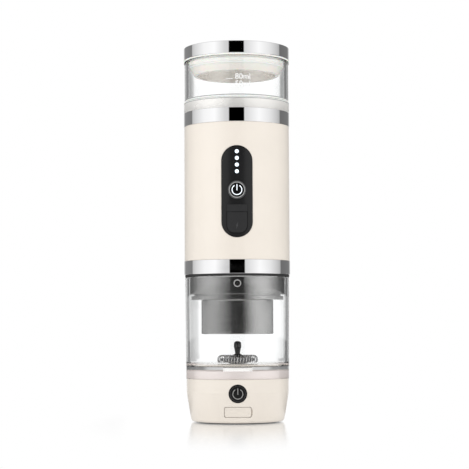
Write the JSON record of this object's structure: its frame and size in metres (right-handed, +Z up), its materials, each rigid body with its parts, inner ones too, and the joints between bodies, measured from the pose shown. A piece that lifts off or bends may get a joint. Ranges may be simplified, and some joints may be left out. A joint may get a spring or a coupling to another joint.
{
  "type": "portable electric espresso maker",
  "caption": "Slim cylindrical battery espresso maker with clear water tank, control panel and twist-lock filter, standing on a clear frother cup with a coil whisk and motor base.",
  "frame": {"origin": "centre of the underside of the rubber foot, on the floor", "axes": "+Z up along the axis of the stack, -Y toward the front with the control panel, +X to the right seen from the front"},
  "size_m": [0.07, 0.07, 0.2469],
  "materials": {
    "chrome": "polished",
    "cream_plastic": "semi-gloss",
    "cream_rubber": "matte",
    "plug_plastic": "satin",
    "white_silicone": "satin",
    "clear_plastic": "clear polished",
    "red_silicone": "satin",
    "steel": "brushed",
    "screw_steel": "plain",
    "magnet": "nickel plated",
    "gunmetal": "satin metallic",
    "panel_black": "gloss",
    "light_plastic": "translucent",
    "halo_plastic": "silvered",
    "flap_rubber": "matte",
    "black_rubber": "matte",
    "board": "solder mask",
    "black_plastic": "satin",
    "cell": "printed wrap",
    "heater": "cast",
    "copper": "enamelled wire",
    "white_plastic": "satin"
  },
  "bodies": {
    "frother": {"cup": "clear_plastic", "base_shell": "cream_plastic", "base_plate": "black_plastic", "base_foot": "black_rubber", "base_screws": "screw_steel", "base_socket": "steel", "base_board": "board", "base_switch": "black_plastic", "base_battery": "cell", "stir_motor": "steel", "motor_bracket": "steel", "bracket_screws": "screw_steel"},
    "base_button": {"base_button": "panel_black"},
    "base_flap": {"base_flap": "cream_rubber"},
    "rotor": {"motor_shaft": "steel", "rotor_disc": "white_plastic", "rotor_magnets": "magnet"},
    "whisk": {"whisk_hub": "black_plastic", "whisk_coil": "steel", "whisk_magnets": "magnet"},
    "upper_unit": {"tank": "clear_plastic", "tank_seal": "red_silicone", "heater_seat": "plug_plastic", "heater_plate": "steel", "heater_ring": "heater", "temp_sensor": "heater", "upper_ring": "chrome", "body_shell": "cream_plastic", "lower_ring": "chrome", "cup_gasket": "black_rubber", "control_panel": "panel_black", "light_guides": "light_plastic", "button_halo": "halo_plastic", "flap_strap": "flap_rubber", "charge_socket": "steel", "control_board": "board", "panel_switch": "black_plastic", "board_screws": "screw_steel", "chassis": "black_plastic", "battery_cells": "cell", "inlet_hose": "white_silicone", "pump_body": "white_plastic", "pump_coil": "copper", "pump_frame": "steel", "pump_spring": "steel", "outlet_seal": "red_silicone", "brew_collar": "gunmetal", "brew_head": "black_plastic", "shower_screen": "steel", "brew_gasket": "red_silicone"},
    "cap": {"cap_shell": "chrome", "cap_plug": "plug_plastic", "cap_seal": "white_silicone", "cap_gasket": "white_silicone"},
    "power_button": {"power_button": "panel_black"},
    "port_flap": {"port_flap": "flap_rubber"},
    "portafilter": {"portafilter": "gunmetal", "filter_basket": "steel"},
    "plunger": {"pump_plunger": "steel"}
  },
  "joints": [
    {"name": "body_lift", "type": "slide", "parent": "frother", "child": "upper_unit", "axis": [0, 0, 1], "range_m": [0, 0.05]},
    {"name": "cap_lift", "type": "slide", "parent": "upper_unit", "child": "cap", "axis": [0, 0, 1], "range_m": [0, 0.03]},
    {"name": "power_button_press", "type": "slide", "parent": "upper_unit", "child": "power_button", "axis": [0, 1, 0], "range_m": [0, 0.0006], "stiffness_N_per_m": 1500},
    {"name": "port_flap_hinge", "type": "hinge", "parent": "upper_unit", "child": "port_flap", "pos_m": [0, -0.03495, 0.1358], "axis": [-1, 0, 0], "range_deg": [0, 105]},
    {"name": "portafilter_twist", "type": "hinge", "parent": "upper_unit", "child": "portafilter", "pos_m": [0, 0, 0.0879], "axis": [0, 0, 1], "range_deg": [0, 40]},
    {"name": "plunger_stroke", "type": "slide", "parent": "upper_unit", "child": "plunger", "axis": [0, 0, 1], "range_m": [-0.003, 0.003], "stiffness_N_per_m": 400, "deforming": ["pump_spring"]},
    {"name": "base_button_press", "type": "slide", "parent": "frother", "child": "base_button", "axis": [0, 1, 0], "range_m": [0, 0.0006], "stiffness_N_per_m": 1500},
    {"name": "base_flap_hinge", "type": "hinge", "parent": "frother", "child": "base_flap", "pos_m": [-0.0085, -0.03111, 0.0078], "axis": [0, 0, -1], "range_deg": [0, 100]},
    {"name": "rotor_spin", "type": "hinge", "parent": "frother", "child": "rotor", "pos_m": [0, 0, 0.029], "axis": [0, 0, 1], "continuous": true},
    {"name": "whisk_spin", "type": "hinge", "parent": "frother", "child": "whisk", "pos_m": [0, 0, 0.0408], "axis": [0, 0, 1], "continuous": true}
  ],
  "couplings": [
    {"joint": "whisk_spin", "follows": "rotor_spin", "ratio": 1}
  ]
}
